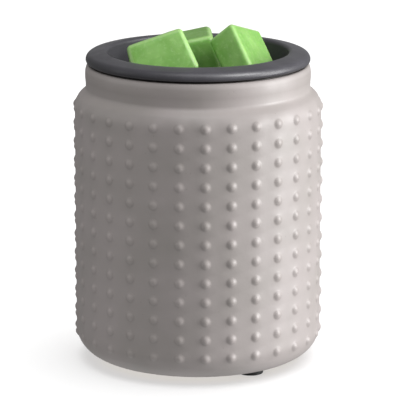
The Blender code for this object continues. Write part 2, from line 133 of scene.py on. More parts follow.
def clean(obj, distance=0.000002):
    """Merge doubled vertices and point the faces outwards."""
    activate(obj)
    bpy.ops.object.mode_set(mode="EDIT")
    bpy.ops.mesh.select_all(action="SELECT")
    bpy.ops.mesh.remove_doubles(threshold=distance)
    bpy.ops.mesh.normals_make_consistent(inside=False)
    bpy.ops.object.mode_set(mode="OBJECT")


def smooth(obj, angle=35):
    """Smooth shading that keeps edges sharper than the angle."""
    activate(obj)
    bpy.ops.object.shade_smooth_by_angle(angle=math.radians(angle))


def settle(obj):
    """Apply place, turn and scale, so that the object sits at the origin."""
    activate(obj)
    bpy.ops.object.transform_apply(location=True, rotation=True, scale=True)


def lathe(name, outline, steps=128, closed=True):
    """Draw an outline of (radius, height) points by extruding a vertex, and spin it round Z."""
    deselect()
    bpy.ops.mesh.primitive_plane_add(size=MM)
    obj = added(name)
    bpy.ops.object.mode_set(mode="EDIT")
    bpy.ops.mesh.select_mode(type="VERT")
    bpy.ops.mesh.select_all(action="SELECT")
    bpy.ops.mesh.merge(type="CENTER")
    bpy.ops.transform.translate(value=(outline[0][0], 0, outline[0][1]))
    stops = list(outline) + ([outline[0]] if closed else [])
    for here, there in zip(stops, stops[1:]):
        step = (there[0] - here[0], 0, there[1] - here[1])
        bpy.ops.mesh.extrude_vertices_move(TRANSFORM_OT_translate={"value": step})
    bpy.ops.mesh.select_all(action="SELECT")
    bpy.ops.mesh.spin(steps=steps, angle=2 * math.pi, center=(0, 0, 0), axis=(0, 0, 1))
    bpy.ops.object.mode_set(mode="OBJECT")
    clean(obj)
    smooth(obj)
    return obj


def arc(centre, radii, start, end, steps):
    """Points of an outline along an elliptical arc, its angles in degrees."""
    turns = [math.radians(start + (end - start) * k / steps) for k in range(steps + 1)]
    return [(centre[0] + radii[0] * math.cos(t), centre[1] + radii[1] * math.sin(t)) for t in turns]


def bezier(corners, steps):
    """Points of an outline along a cubic curve through four control points."""
    points = []
    for k in range(steps + 1):
        t = k / steps
        weights = ((1 - t) ** 3, 3 * t * (1 - t) ** 2, 3 * t * t * (1 - t), t**3)
        points.append(tuple(sum(w * c[axis] for w, c in zip(weights, corners)) for axis in (0, 1)))
    return points


def scaled(points):
    """An outline given in millimetres, in metres."""
    return [(r * MM, z * MM) for r, z in points]


print("a quarter round of eight steps has", len(arc((0, 0), (1, 1), 0, 90, 8)), "points")

# %% [markdown]
# ## Picking, cutting and handing in
#
# Faces and rings are picked in code, by their place or normal, where a person would click on them. Holes
# and hexagons come from Booleans: the tool is an object of its own, which is applied and thrown away. A
# finished piece rides on a body of the engineering model, takes a finish by its slot, and stands for the
# solids that it replaces. Every piece below ends with these three calls.

# %% Helpers to pick, cut and hand in


def unselect(obj):
    """Leave edit mode and unselect every part of a mesh."""
    bpy.ops.object.mode_set(mode="OBJECT")
    for parts in (obj.data.vertices, obj.data.edges, obj.data.polygons):
        parts.foreach_set("select", [False] * len(parts))


def pick_faces(obj, test):
    """Select the faces that pass a test, and stay in edit mode."""
    unselect(obj)
    for face in obj.data.polygons:
        face.select = test(face)
    bpy.ops.object.mode_set(mode="EDIT")
    bpy.ops.mesh.select_mode(type="FACE")


def combine(obj, tool, operation="DIFFERENCE"):
    """Apply a Boolean with a tool, and throw the tool away."""
    modifier = obj.modifiers.new("Combine", "BOOLEAN")
    modifier.operation = operation
    modifier.object = tool
    activate(obj)
    bpy.ops.object.modifier_apply(modifier=modifier.name)
    bpy.data.objects.remove(tool)


def centre_of(node):
    """The middle of a node's box."""
    low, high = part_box(node)
    return (Vector(low) + Vector(high)) / 2


def hand_in(piece, body, slot, *nodes):
    """A finished piece rides on its body, takes its slot and stands for its nodes."""
    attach(piece, body)
    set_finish(piece, slot)
    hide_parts(*nodes)
    print(piece.name, len(piece.data.polygons), "faces")


# %% [markdown]
# ## The hobnail: one patch, modelled once
#
# The jar's wall carries thirty columns of thirteen hobnails. Modelling each bump apart and pushing it into
# the wall would leave a hard line at its foot, while on fired clay it swells out of the wall with a soft
# fillet under the glaze. So one patch is modelled flat, a bump with a square of wall round it. It starts as
# a circle, is extruded inwards and raised in rings to make the dome, and then outwards to the patch's edge.

# %% Model one patch with its bump
HOBNAIL_COLUMNS = 30
HOBNAIL_ROWS = 13
FIRST_ROW = 12.7 * MM
ROW_PITCH = 8.24 * MM
HOBNAIL_HEIGHT = 0.90 * MM
HOBNAIL_FOOT = 2.7 * MM
COLUMN_PHASE = math.radians(7.35)

patch_width = 2 * math.pi * jar_radius / HOBNAIL_COLUMNS


def dome(share):
    """Height of the bump at a share of its foot's radius, with a soft foot and a round top."""
    return 0.5 + 0.5 * math.cos(math.pi * min(share, 1.0) ** 1.15)


def ring_move(share_from, share_to):
    """Extrude the selected ring inwards to the next share of the foot's radius, and raise it."""
    rise = HOBNAIL_HEIGHT * (dome(share_to) - dome(share_from))
    bpy.ops.mesh.extrude_edges_move(TRANSFORM_OT_translate={"value": (0, -rise, 0)})
    factor = share_to / share_from
    bpy.ops.transform.resize(value=(factor, factor, factor), constraint_axis=(True, False, True))


def model_patch():
    """A square of unrolled wall in the XZ plane with a bump that stands out towards -Y."""
    deselect()
    bpy.ops.mesh.primitive_circle_add(vertices=16, radius=HOBNAIL_FOOT, rotation=(math.radians(90), 0, 0))
    patch = added("stoneware_jar")
    settle(patch)
    bpy.ops.object.mode_set(mode="EDIT")
    bpy.ops.mesh.select_all(action="SELECT")
    shares = (1.0, 0.86, 0.70, 0.52, 0.33, 0.15)
    for a, b in zip(shares, shares[1:]):
        ring_move(a, b)
    bpy.ops.mesh.edge_face_add()
    bpy.ops.mesh.poke()
    bpy.ops.mesh.select_all(action="DESELECT")
    bpy.ops.object.mode_set(mode="OBJECT")
    foot = [v for v in patch.data.vertices if Vector((v.co.x, v.co.z)).length > 0.99 * HOBNAIL_FOOT]
    for vertex in foot:
        vertex.select = True
    bpy.ops.object.mode_set(mode="EDIT")
    bpy.ops.mesh.select_mode(type="VERT")
    bpy.ops.mesh.extrude_edges_move()
    bpy.ops.object.mode_set(mode="OBJECT")
    for vertex in patch.data.vertices:
        if vertex.select:
            reach = max(abs(vertex.co.x), abs(vertex.co.z))
            vertex.co.x *= patch_width / 2 / reach
            vertex.co.z *= ROW_PITCH / 2 / reach
    return patch


jar = model_patch()
print("one hobnail patch:", len(jar.data.polygons), "faces,", round(patch_width / MM, 2), "mm wide")

# %% [markdown]
# ## From one patch to the wall
#
# Two Array modifiers repeat the patch along and up, and merge the seams. The flat sheet is then wrapped
# round the axis. A Curve or Simple Deform modifier could bend it, but a wrap is one line of trigonometry,
# and it closes the ring exactly. The bumps fade out round the hole for the cord, where the potter leaves a
# smooth seat, and each is a little different, because a mould wears.

# %% Repeat the patch and wrap it round the jar
outlet_low, outlet_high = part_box("cord_grommet")
outlet = Vector((0, outlet_high[1], (outlet_low[2] + outlet_high[2]) / 2))
outlet_seat = 10.5 * MM
neck_base = 119.9 * MM
shoulder_low = 110.6 * MM
corner_width, corner_height = 13 * MM, 12 * MM
shoulder = bezier([(jar_radius, shoulder_low), (jar_radius, 117.4 * MM), (neck_radius, 117.2 * MM),
                   (neck_radius, neck_base)], 40)


def wall_radius(height):
    """The jar's radius at a height, without hobnails: a rounded foot, an upright wall and the shoulder."""
    below = jar_bottom + corner_height - height
    if below > 0:
        return jar_radius - corner_width + corner_width * math.sqrt(max(0, 1 - (below / corner_height) ** 2))
    return float(np.interp(height, [z for _, z in shoulder], [r for r, _ in shoulder]))


def repeat(obj, count, offset):
    """Array copies of a piece along an offset, and merge where they meet."""
    modifier = obj.modifiers.new("Repeat", "ARRAY")
    modifier.count = count
    modifier.use_relative_offset = False
    modifier.use_constant_offset = True
    modifier.constant_offset_displace = offset
    modifier.use_merge_vertices = True
    modifier.merge_threshold = 0.00001
    activate(obj)
    bpy.ops.object.modifier_apply(modifier=modifier.name)


repeat(jar, HOBNAIL_COLUMNS, (patch_width, 0, 0))
repeat(jar, HOBNAIL_ROWS, (0, 0, ROW_PITCH))
luck = random.Random(30)
growth = {}
for vertex in jar.data.vertices:
    column = round(vertex.co.x / patch_width) % HOBNAIL_COLUMNS
    row = round(vertex.co.z / ROW_PITCH)
    angle = COLUMN_PHASE + vertex.co.x / jar_radius
    height = FIRST_ROW + vertex.co.z
    if (column, row) not in growth:
        growth[column, row] = luck.uniform(0.93, 1.04)
    flat = Vector((jar_radius * math.cos(angle), jar_radius * math.sin(angle), height))
    seat = min(max(((flat - outlet).length - outlet_seat) / (2 * MM), 0), 1)
    radius = wall_radius(height) - vertex.co.y * growth[column, row] * seat
    vertex.co = (radius * math.cos(angle), radius * math.sin(angle), height)
clean(jar, 0.00001)
print("wall:", len(jar.data.polygons), "faces,", HOBNAIL_COLUMNS * HOBNAIL_ROWS, "hobnails")

# %% [markdown]
# ## Shoulder, neck, lip and foot of the jar
#
# The wall's open top ring is extruded ring by ring: in over the shoulder, up the neck, over the lip, down
# the inside and across the floor. The bottom ring goes down round the base. Both end at the hole in the
# base, where they are merged. Drawing the jar from its own wall keeps one skin, so the glaze runs over the
# whole jar without a seam.

# %% Draw the rest of the jar from its wall


def select_ring(obj, height):
    """Select the vertices of a ring at a height."""
    unselect(obj)
    for vertex in obj.data.vertices:
        vertex.select = abs(vertex.co.z - height) < 0.02 * MM
    bpy.ops.object.mode_set(mode="EDIT")
    bpy.ops.mesh.select_mode(type="VERT")


def draw_rings(outline):
    """Extrude the selected ring from point to point of an outline of (radius, height)."""
    for (r0, z0), (r1, z1) in zip(outline, outline[1:]):
        bpy.ops.mesh.extrude_edges_move(TRANSFORM_OT_translate={"value": (0, 0, z1 - z0)})
        bpy.ops.transform.resize(value=(r1 / r0, r1 / r0, 1))


half = ROW_PITCH / 2
wall_top = FIRST_ROW + (HOBNAIL_ROWS - 1) * ROW_PITCH + half
wall_low = FIRST_ROW - half
inner_radius = jar_radius - jar_wall
mouth_radius = neck_radius - jar_wall
rebate_radius = 46.4 * MM
rebate_floor = 127.4 * MM
base_hole = 24.0 * MM
cover_rebate = 27.5 * MM
cover_rebate_top = 4.2 * MM
inner_floor = 6.8 * MM

above = [(r, z) for r, z in shoulder[::3] if z > wall_top + 0.4 * MM] + [shoulder[-1]]
up = [(wall_radius(wall_top), wall_top)] + above
up += [(neck_radius + 0.05 * MM, 122 * MM), (neck_radius + 0.25 * MM, 124 * MM)]
up += arc((neck_radius - 1.2 * MM, jar_top - 4.4 * MM), (1.5 * MM, 4.4 * MM), 8, 84, 8)
up += [(rebate_radius + 0.3 * MM, jar_top), (rebate_radius, jar_top - 0.3 * MM)]
up += [(rebate_radius, rebate_floor), (mouth_radius + 0.4 * MM, rebate_floor)]
up += [(mouth_radius, rebate_floor - 0.4 * MM)]
up += bezier([(mouth_radius, 121 * MM), (mouth_radius, 116 * MM), (inner_radius, 116 * MM),
              (inner_radius, 110 * MM)], 8)
up += arc((inner_radius - 8 * MM, inner_floor + 8 * MM), (8 * MM, 8 * MM), 0, -90, 6)
up += [(base_hole + 0.4 * MM, inner_floor), (base_hole, inner_floor - 0.4 * MM)]
up += [(base_hole, cover_rebate_top)]

corner = (jar_radius - corner_width, jar_bottom + corner_height)
bend = arc(corner, (corner_width, corner_height), 0, -90, 16)
down = [(wall_radius(wall_low), wall_low)] + [point for point in bend if point[1] < wall_low - 0.3 * MM]
down += [(cover_rebate + 0.3 * MM, jar_bottom), (cover_rebate, jar_bottom + 0.3 * MM)]
down += [(cover_rebate, cover_rebate_top), (base_hole, cover_rebate_top)]

activate(jar)
select_ring(jar, wall_top)
draw_rings(up)
select_ring(jar, wall_low)
draw_rings(down)
bpy.ops.object.mode_set(mode="OBJECT")
clean(jar, 0.00001)
print("jar:", len(jar.data.polygons), "faces")

# %% [markdown]
# ## The hole for the cord
#
# The factory drills this hole before firing. A Boolean with a cylinder is the direct tool: one cut for the
# hole and a wider, shallow one for the grommet's flange.

# %% Drill the cord hole


def drill(obj, radius, start, end):
    """Cut a round hole along Y through the cord outlet's centre."""
    deselect()
    middle = (0, (start + end) / 2, outlet.z)
    bpy.ops.mesh.primitive_cylinder_add(vertices=64, radius=radius, depth=end - start, location=middle,
                                        rotation=(math.radians(90), 0, 0))
    combine(obj, added("drill"))


HOLE_RADIUS, FLANGE_SEAT_RADIUS, FLANGE_SEAT_DEPTH = 5.2 * MM, 7.4 * MM, 1.8 * MM
drill(jar, HOLE_RADIUS, inner_radius - 6 * MM, jar_radius + 2 * MM)
drill(jar, FLANGE_SEAT_RADIUS, jar_radius - FLANGE_SEAT_DEPTH, jar_radius + 4 * MM)
smooth(jar, 40)
hand_in(jar, "warmer", "glaze", "ceramic_body")

# %% [markdown]
# ## The silicone dish
#
# The dish is moulded in one piece: a flat floor, a wall that leans out a little so that the cold wax
# releases, and a thick rim that is rolled over the jar's lip. It is a body of revolution, so its outline is
# drawn once and spun. The radii are generous, because silicone tears at sharp corners.

# %% Turn the dish
dish_floor = dish_bottom + 2.0 * MM
mouth = 38.9 * MM
floor_radius = 34.4 * MM
rim_bottom = 130.4 * MM
outline = [(0, dish_floor), (12 * MM, dish_floor), (24 * MM, dish_floor)]
outline += arc((floor_radius, dish_floor + 2.4 * MM), (2.4 * MM, 2.4 * MM), -90, 0, 6)
outline += [(37.3 * MM, 122 * MM), (37.9 * MM, 126 * MM), (38.5 * MM, 130 * MM)]
outline += arc((mouth + 1.5 * MM, rim_top - 0.8 * MM), (1.5 * MM, 1.5 * MM), 180, 82, 7)
outline += [(42.2 * MM, rim_top + 0.52 * MM), (44.0 * MM, rim_top + 0.14 * MM)]
outline += arc((rim_radius - 2.9 * MM, rim_top - 2.9 * MM), (2.9 * MM, 2.75 * MM), 78, 0, 9)
outline += arc((rim_radius - 1.2 * MM, rim_bottom + 1.2 * MM), (1.2 * MM, 1.2 * MM), 0, -90, 5)
outline += [(42.6 * MM, rim_bottom), (41.4 * MM, rim_bottom - 0.4 * MM), (40.8 * MM, rim_bottom - 1.4 * MM)]
outline += [(39.9 * MM, 125 * MM), (39.0 * MM, dish_floor + 2.4 * MM)]
outline += arc((floor_radius, dish_floor + 2.4 * MM), (4.4 * MM, 4.4 * MM), -10, -90, 6)
outline += [(24 * MM, dish_bottom), (12 * MM, dish_bottom), (0, dish_bottom)]
dish = lathe("dish", outline, steps=160, closed=False)
hand_in(dish, "dish", "silicone", "silicone_dish")

# %% [markdown]
# ## Wax melts
#
# A melt is poured into a clamshell cell and snapped out, so it is a squat block with sloping sides, soft
# edges and a slightly sunken pouring face. The frame has each block's size and tilt. They are read from its
# faces: the largest is the base, and the planes of the others give the slopes. The block itself is a cube
# that is tapered, bevelled and subdivided in edit mode, and its faces get a faint unevenness.

# %% Read a melt's size and tilt from its solid


def face_groups(node):
    """The flat faces of a CAD solid as (area, normal, point), largest first."""
    groups = {}
    for face in frame["nodes"][node].data.polygons:
        key = tuple(round(part * 20) for part in face.normal)
        area, normal, point = groups.get(key, (0.0, Vector(face.normal), Vector(face.center)))
        groups[key] = (area + face.area, normal, point)
    return sorted(groups.values(), key=lambda group: -group[0])


def melt_frame(node):
    """A melt's matrix (Z from base to top) with its base side, top side and height."""
    flats = face_groups(node)[:6]
    down = flats[0][1]
    roof = min(flats, key=lambda flat: flat[1].dot(down))
    up = -down
    sides = [flat for flat in flats if abs(flat[1].dot(down)) < 0.7]
    across = (sides[0][1] - up * sides[0][1].dot(up)).normalized()
    along = up.cross(across)
    base_level, top_level = flats[0][2].dot(up), roof[2].dot(up)
    limits = {}
    for _, normal, point in sides:
        axis = across if abs(normal.dot(across)) > abs(normal.dot(along)) else along
        way = 1 if normal.dot(axis) > 0 else -1
        for level_name, level in (("base", base_level), ("top", top_level)):
            reach = (normal.dot(point) - normal.dot(up) * level) / normal.dot(axis)
            limits[level_name, tuple(axis), way] = reach
    sizes = [limits[level, tuple(across), 1] - limits[level, tuple(across), -1] for level in ("base", "top")]
    centre = up * (base_level + top_level) / 2
    for axis in (across, along):
        centre += axis * (limits["base", tuple(axis), 1] + limits["base", tuple(axis), -1]) / 2
    turn = Matrix((across, along, up)).transposed().to_4x4()
    return Matrix.Translation(centre) @ turn, sizes[0], sizes[1], top_level - base_level


MELTS = {"wax_melt_left": "left_melt", "wax_melt_rear": "rear_melt", "wax_melt_right": "right_melt"}
for node in MELTS:
    place, base, top, height = melt_frame(node)
    print(node, "base", round(base / MM, 1), "top", round(top / MM, 1), "height", round(height / MM, 1), "mm")

# %% [markdown]
# ## The block of wax
#
# Cooling leaves a block slightly wavy, and the face that was uppermost in the cell sinks. Both are added
# vertex by vertex with a smooth noise field, which is quicker than sculpting and the same every time. A
# number stored on each vertex says how near it is to an edge, and the wax finish reads it later to paint a
# pale highlight along the edges.

# %% Model the melts
from mathutils import noise as field

MELT_CORNER = 2.0 * MM
WAVE, RIPPLE = 0.16 * MM, 0.05 * MM
SINK = 0.35 * MM


def model_melt(name, place, base, top, height):
    """A cube tapered to the melt's two sides, bevelled, with a sunken pouring face."""
    deselect()
    bpy.ops.mesh.primitive_cube_add(size=1, scale=(base, base, height))
    melt = added(name)
    settle(melt)
    pick_faces(melt, lambda face: face.normal.z > 0.5)
    bpy.ops.transform.resize(value=(top / base, top / base, 1))
    bpy.ops.mesh.select_all(action="SELECT")
    bpy.ops.mesh.bevel(offset=MELT_CORNER, segments=5, profile=0.5, affect="EDGES")
    pick_faces(melt, lambda face: face.area > (8 * MM) ** 2)
    bpy.ops.mesh.subdivide(number_cuts=11)
    bpy.ops.mesh.select_all(action="SELECT")
    bpy.ops.mesh.quads_convert_to_tris()
    bpy.ops.mesh.tris_convert_to_quads()
    bpy.ops.object.mode_set(mode="OBJECT")
    seed = Vector((base, top, height)) * 1000
    for vertex in melt.data.vertices:
        flat_x, flat_y = vertex.co.x / (base / 2), vertex.co.y / (base / 2)
        sag = max(0.0, 1 - flat_x**2) * max(0.0, 1 - flat_y**2)
        wave = field.noise(vertex.co * 120 + seed) * WAVE + field.noise(vertex.co * 420 + seed) * RIPPLE
        sink = SINK * sag if vertex.co.z < -0.4 * height else 0.0
        vertex.co += Vector(vertex.normal) * wave + Vector((0, 0, sink))
    corner_share = []
    for vertex in melt.data.vertices:
        width = base + (top - base) * (vertex.co.z / height + 0.5)
        shares = sorted(2 * abs(part) / size for part, size in zip(vertex.co, (width, width, height)))
        corner_share.append(shares[1])
    edge = melt.data.attributes.new("edge", "FLOAT", "POINT")
    edge.data.foreach_set("value", corner_share)
    melt.data.transform(place)
    clean(melt)
    smooth(melt, 60)
    return melt


for node, body in MELTS.items():
    melt = model_melt(node.replace("wax_", ""), *melt_frame(node))
    hand_in(melt, body, "wax", node)

# %% [markdown]
# ## Feet and grommet
#
# The feet are punched from rubber sheet, so they are low discs with a rounded lower edge and a shallow
# suction dimple. One is made from a cylinder with bevel, inset and a small push inwards, and the other
# two are copies. The grommet is turned like the dish, with a soft lip, and laid over to face backwards.

# %% Make the feet and the grommet


def copy_of(obj, name):
    """A copy of a piece with its own mesh."""
    twin = obj.copy()
    twin.data = obj.data.copy()
    twin.name = name
    bpy.context.scene.collection.objects.link(twin)
    return twin


foot_radius, foot_low, foot_high = spread("foot_1")
deselect()
bpy.ops.mesh.primitive_cylinder_add(vertices=64, radius=foot_radius, depth=foot_high - foot_low)
first_foot = added("rubber_foot_1")
bpy.ops.object.mode_set(mode="EDIT")
bpy.ops.mesh.select_all(action="SELECT")
bpy.ops.mesh.bevel(offset=0.35 * MM, segments=4, affect="EDGES")
pick_faces(first_foot, lambda face: face.normal.z < -0.9 and len(face.vertices) > 8)
bpy.ops.mesh.inset(thickness=1.2 * MM, depth=0)
bpy.ops.mesh.inset(thickness=1.0 * MM, depth=-0.3 * MM)
bpy.ops.mesh.poke(offset=0)
bpy.ops.object.mode_set(mode="OBJECT")
smooth(first_foot)
feet = [first_foot] + [copy_of(first_foot, f"rubber_foot_{number}") for number in (2, 3)]
for number, foot in enumerate(feet, start=1):
    foot.location = centre_of(f"foot_{number}")
    settle(foot)
    hand_in(foot, "warmer", "rubber", f"foot_{number}")

flange_inner = (46.0 * MM, 47.5 * MM)
flange_outer = (51.5 * MM, outlet_high[1])
bush, bore, flange = 4.9 * MM, 3.3 * MM, 7.0 * MM
outline = arc((flange - 0.35 * MM, flange_outer[1] - 0.35 * MM), (0.35 * MM, 0.35 * MM), 90, 0, 4)
outline += [(flange, flange_outer[0]), (bush, flange_outer[0])]
outline += [(bush, flange_inner[1]), (flange, flange_inner[1])]
outline += arc((flange - 0.4 * MM, flange_inner[0] + 0.4 * MM), (0.4 * MM, 0.4 * MM), 0, -90, 4)
outline += [(bore + 0.6 * MM, flange_inner[0]), (bore, flange_inner[0] + 0.6 * MM)]
for bead in range(5):
    middle = 47.4 * MM + bead * 0.8 * MM
    outline += [(bore, middle - 0.3 * MM), (bore - 0.15 * MM, middle), (bore, middle + 0.3 * MM)]
outline += arc((bore + 0.8 * MM, flange_outer[1] - 0.8 * MM), (0.8 * MM, 0.8 * MM), 180, 90, 4)
face, groove = flange_outer[1], flange_outer[1] - 0.2 * MM
outline += [(5.0 * MM, face), (5.15 * MM, groove), (5.5 * MM, groove), (5.65 * MM, face)]
grommet = lathe("cord_bush", outline, steps=64)
grommet.rotation_euler = (math.radians(-90), 0, 0)
grommet.location = (0, 0, outlet.z)
settle(grommet)
hand_in(grommet, "warmer", "rubber", "cord_grommet")

# %% [markdown]
# ## The base cover
#
# The cover is an injection moulding that is only seen when the warmer is turned over. Its underside has a
# raised rim, a ring of blind cooling slots and a sunken seat for the nut. The disc is turned first; then
# faces in a ring are picked by their angle, inset and pushed in, as one would with a real mould insert.

# %% Make the base cover
cover_radius, cover_low, _ = spread("base_cover")
flange_top = 3.9 * MM
rod_hole = 2.4 * MM
outline = arc((cover_radius - 0.5 * MM, flange_top - 0.3 * MM), (0.5 * MM, 0.3 * MM), 90, 0, 3)
outline += arc((cover_radius - 0.5 * MM, cover_low + 0.5 * MM), (0.5 * MM, 0.5 * MM), 0, -90, 4)
outline += scaled([(25.2, 1.9), (24.9, 2.2), (23.9, 2.2), (23.6, 1.9), (21.0, 1.9), (15.5, 1.9), (13.0, 1.9),
                   (12.7, 2.2), (11.9, 2.2), (11.6, 1.9), (9.2, 1.9), (8.4, 2.2), (7.3, 2.3), (7.0, 2.6)])
outline += scaled([(7.0, 7.0), (2.4, 7.0), (2.4, 9.0), (8.7, 9.0), (9.0, 8.7), (9.0, 4.3), (9.4, 3.9),
                   (21.4, 3.9), (21.8, 4.3), (21.8, 7.7), (22.0, 8.0), (23.4, 8.0), (23.6, 7.8), (23.6, 3.9)])
cover = lathe("base_plate", outline, steps=144)
slots = 24


def in_slot(face):
    """True for the faces of the cover's underside that lie in a cooling slot."""
    radius = math.hypot(face.center.x, face.center.y)
    if face.normal.z > -0.9 or not 15.5 * MM < radius < 21.0 * MM:
        return False
    turn = math.degrees(math.atan2(face.center.y, face.center.x)) % (360 / slots)
    return 5.0 < turn < 10.0


pick_faces(cover, in_slot)
bpy.ops.mesh.inset(thickness=0.2 * MM, depth=0)
bpy.ops.mesh.extrude_region_move(TRANSFORM_OT_translate={"value": (0, 0, 1.2 * MM)})
bpy.ops.object.mode_set(mode="OBJECT")
clean(cover)
smooth(cover)
hand_in(cover, "warmer", "cover_plastic", "base_cover")

# %% [markdown]
# ## The heater's plate and its housing
#
# Lift the dish out, and the heater shows: a cast plate with the fine rings that a facing tool leaves, in a
# cup of heatproof plastic. Both are turned. The rings are real grooves, worked out by a loop, because a
# groove catches light from every side and a painted one doesn't.

# %% Make the plate and the housing
plate_radius, _, plate_top = spread("heater_plate")
plate_low = plate_top - 3.0 * MM
boss_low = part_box("heater_plate")[0][2]
outline = [(0, plate_top - 0.25 * MM), (1.2 * MM, plate_top - 0.2 * MM), (1.6 * MM, plate_top - 0.05 * MM)]
radius = 2.4 * MM
while radius < 38.5 * MM:
    outline += [(radius, plate_top - 0.05 * MM), (radius + 0.35 * MM, plate_top - 0.10 * MM),
                (radius + 0.7 * MM, plate_top - 0.05 * MM)]
    radius += 1.5 * MM
outline += arc((plate_radius - 1.0 * MM, plate_top - 1.0 * MM), (1.0 * MM, 1.0 * MM), 90, 0, 5)
outline += arc((plate_radius - 0.6 * MM, plate_low + 0.6 * MM), (0.6 * MM, 0.6 * MM), 0, -90, 3)
outline += [(30 * MM, plate_low), (0, plate_low)]
plate = lathe("heating_plate", outline, steps=128, closed=False)
bosses = []
for angle in (30, 150, 270):
    place = (31 * MM * math.cos(math.radians(angle)), 31 * MM * math.sin(math.radians(angle)))
    hollow = [(1.5 * MM, boss_low), (3.0 * MM, boss_low), (3.4 * MM, plate_low + 0.2 * MM)]
    hollow += [(1.5 * MM, plate_low + 0.2 * MM)]
    boss = lathe("boss", hollow[::-1], steps=32)
    boss.location = (*place, 0)
    settle(boss)
    bosses.append(boss)
activate(plate)
for boss in bosses:
    boss.select_set(True)
bpy.ops.object.join()
hand_in(plate, "warmer", "heater_metal", "heater_plate")

housing_radius, housing_low, housing_top = spread("heater_housing")
wall_out, wall_in, ledge = 43.2 * MM, 41.6 * MM, 36.5 * MM
ledge_low, ledge_top = plate_low - 2.3 * MM, plate_low - 0.3 * MM
outline = arc((housing_radius - 0.4 * MM, housing_top - 0.4 * MM), (0.4 * MM, 0.4 * MM), 90, 0, 4)
outline += [(housing_radius, housing_top - 1.2 * MM), (wall_out + 0.5 * MM, housing_top - 1.2 * MM)]
outline += [(wall_out, housing_top - 1.7 * MM), (wall_out, housing_low + 1.5 * MM)]
outline += arc((wall_out - 1.5 * MM, housing_low + 1.5 * MM), (1.5 * MM, 1.5 * MM), 0, -90, 5)
outline += [(rod_hole, housing_low), (rod_hole, housing_low + 2.0 * MM)]
outline += [(wall_in - 1.0 * MM, housing_low + 2.0 * MM)]
outline += [(wall_in, housing_low + 3.0 * MM), (wall_in, ledge_low), (ledge + 0.3 * MM, ledge_low)]
outline += [(ledge, ledge_low + 0.3 * MM), (ledge, ledge_top - 0.3 * MM), (ledge + 0.3 * MM, ledge_top)]
outline += [(wall_in, ledge_top), (wall_in, housing_top - 1.0 * MM), (wall_in + 1.0 * MM, housing_top)]
groove = housing_top - 0.25 * MM
outline += [(44.2 * MM, housing_top), (44.4 * MM, groove), (44.9 * MM, groove), (45.1 * MM, housing_top)]
housing = lathe("heater_cup", outline, steps=128)


def pierce(obj, places, radius, low, high):
    """Cut upright round holes through a piece."""
    for x, y in places:
        deselect()
        middle = (x, y, (low + high) / 2)
        bpy.ops.mesh.primitive_cylinder_add(vertices=24, radius=radius, depth=high - low, location=middle)
        combine(obj, added("drill"))


risers = [(-17 * MM, 17 * MM), (-17 * MM, 9 * MM)]
screw_circle = [centre_of(f"plate_screw_{number}").to_2d() for number in (1, 2, 3)]
pierce(housing, risers, 1.8 * MM, housing_low - MM, housing_low + 3 * MM)
pierce(housing, screw_circle, 1.3 * MM, ledge_low - MM, ledge_top + MM)
smooth(housing)
hand_in(housing, "warmer", "housing_plastic", "heater_housing")

# %% [markdown]
# ## Threads, nuts and screws
#
# A thread at this size is a saw-tooth outline, so the rod is turned with its ridges. A nut is a six-sided
# prism with its corners turned off, which a Boolean intersection with a turned lens gives, as on a real
# lathe. Screws are turned too, and get a straight slot across the head.

# %% Model the fasteners
PITCH = 0.7 * MM


def thread(radius, low, high):
    """Outline points of a thread, from its top down."""
    points = []
    height = high
    while height - PITCH > low:
        points += [(radius, height - 0.15 * MM), (radius - 0.3 * MM, height - 0.45 * MM)]
        height -= PITCH
    return points


rod_radius, rod_low, rod_high = spread("tie_rod")
thread_length = 12 * MM
outline = [(0, rod_high), (rod_radius - 0.5 * MM, rod_high)]
outline += thread(rod_radius, rod_high - thread_length, rod_high - 0.4 * MM)
outline += [(rod_radius - 0.2 * MM, rod_high - thread_length - 0.5 * MM)]
outline += [(rod_radius - 0.2 * MM, rod_low + thread_length + 0.5 * MM)]
outline += thread(rod_radius, rod_low + 0.4 * MM, rod_low + thread_length)
outline += [(rod_radius - 0.5 * MM, rod_low), (0, rod_low)]
rod = lathe("threaded_rod", outline, steps=32, closed=False)
hand_in(rod, "warmer", "steel", "tie_rod")


def model_nut(name, node):
    """A hexagon nut with turned corners and a countersunk hole."""
    corner_radius, low, high = spread(node)
    deselect()
    bpy.ops.mesh.primitive_cylinder_add(vertices=6, radius=corner_radius, depth=high - low,
                                        location=(0, 0, (low + high) / 2), rotation=(0, 0, math.radians(30)))
    nut = added(name)
    settle(nut)
    bore = rod_radius + 0.3 * MM
    edge = 0.35 * MM
    shape = [(corner_radius - 0.7 * MM, high), (corner_radius + 0.1 * MM, high - edge)]
    shape += [(corner_radius + 0.1 * MM, low + edge), (corner_radius - 0.7 * MM, low), (bore + edge, low)]
    shape += [(bore, low + edge), (bore, high - edge), (bore + edge, high)]
    combine(nut, lathe("corner_cut", shape, steps=48), "INTERSECT")
    smooth(nut, 20)
    return nut


for end in ("lower", "upper"):
    nut = model_nut(f"hex_nut_{end}", f"{end}_nut")
    hand_in(nut, "warmer", "steel", f"{end}_nut")
    washer_radius, low, high = spread(f"{end}_washer")
    bore = rod_radius + 0.3 * MM
    edge = 0.12 * MM
    outline = [(washer_radius - edge, high), (washer_radius, high - edge), (washer_radius, low + edge),
               (washer_radius - edge, low), (bore, low), (bore, high)]
    washer = lathe(f"flat_washer_{end}", outline, steps=48)
    hand_in(washer, "warmer", "steel", f"{end}_washer")


